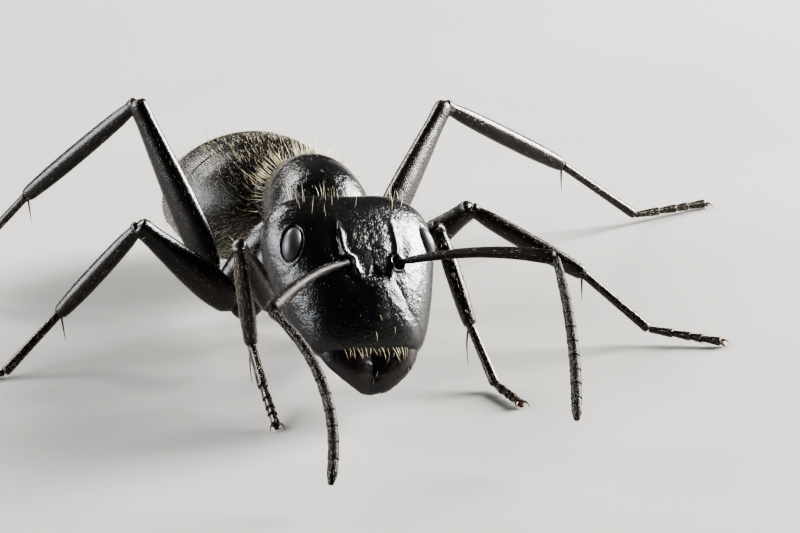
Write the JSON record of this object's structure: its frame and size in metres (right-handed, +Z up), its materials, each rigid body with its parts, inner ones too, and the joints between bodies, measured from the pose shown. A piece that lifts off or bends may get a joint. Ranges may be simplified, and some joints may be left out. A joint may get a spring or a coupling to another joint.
{
  "type": "carpenter ant figure",
  "caption": "Life-size still model of a black carpenter ant standing with raised head, feelers reaching forward and legs spread.",
  "frame": {"origin": "on the floor, at the middle of the figure's footprint", "axes": "-Y the way the ant faces, +X its left side, +Z up"},
  "size_m": [0.0172, 0.0164, 0.0045],
  "materials": {
    "body_cuticle": "glossy black cuticle with fine leathery sculpture",
    "eye_lens": "fine-faceted dark grey eye",
    "jaw_horn": "glossy black-brown horn",
    "leg_cuticle": "satin black-brown cuticle",
    "feeler_cuticle": "satin black-brown cuticle with short down"
  },
  "bodies": {
    "root": {"basitarsus_fore_left": "leg_cuticle", "basitarsus_fore_right": "leg_cuticle", "basitarsus_hind_left": "leg_cuticle", "basitarsus_hind_right": "leg_cuticle", "basitarsus_mid_left": "leg_cuticle", "basitarsus_mid_right": "leg_cuticle", "coxa_fore_left": "leg_cuticle", "coxa_fore_right": "leg_cuticle", "coxa_hind_left": "leg_cuticle", "coxa_hind_right": "leg_cuticle", "coxa_mid_left": "leg_cuticle", "coxa_mid_right": "leg_cuticle", "eye_left": "eye_lens", "eye_right": "eye_lens", "femur_fore_left": "leg_cuticle", "femur_fore_right": "leg_cuticle", "femur_hind_left": "leg_cuticle", "femur_hind_right": "leg_cuticle", "femur_mid_left": "leg_cuticle", "femur_mid_right": "leg_cuticle", "funiculus_left": "feeler_cuticle", "funiculus_right": "feeler_cuticle", "gaster_1": "body_cuticle", "gaster_2": "body_cuticle", "gaster_3": "body_cuticle", "gaster_4": "body_cuticle", "gaster_5": "body_cuticle", "head": "body_cuticle", "mandible_left": "jaw_horn", "mandible_right": "jaw_horn", "mesothorax": "body_cuticle", "petiole": "body_cuticle", "pronotum": "body_cuticle", "propodeum": "body_cuticle", "scape_left": "feeler_cuticle", "scape_right": "feeler_cuticle", "tarsus_fore_left": "leg_cuticle", "tarsus_fore_right": "leg_cuticle", "tarsus_hind_left": "leg_cuticle", "tarsus_hind_right": "leg_cuticle", "tarsus_mid_left": "leg_cuticle", "tarsus_mid_right": "leg_cuticle", "tibia_fore_left": "leg_cuticle", "tibia_fore_right": "leg_cuticle", "tibia_hind_left": "leg_cuticle", "tibia_hind_right": "leg_cuticle", "tibia_mid_left": "leg_cuticle", "tibia_mid_right": "leg_cuticle"}
  },
  "joints": []
}
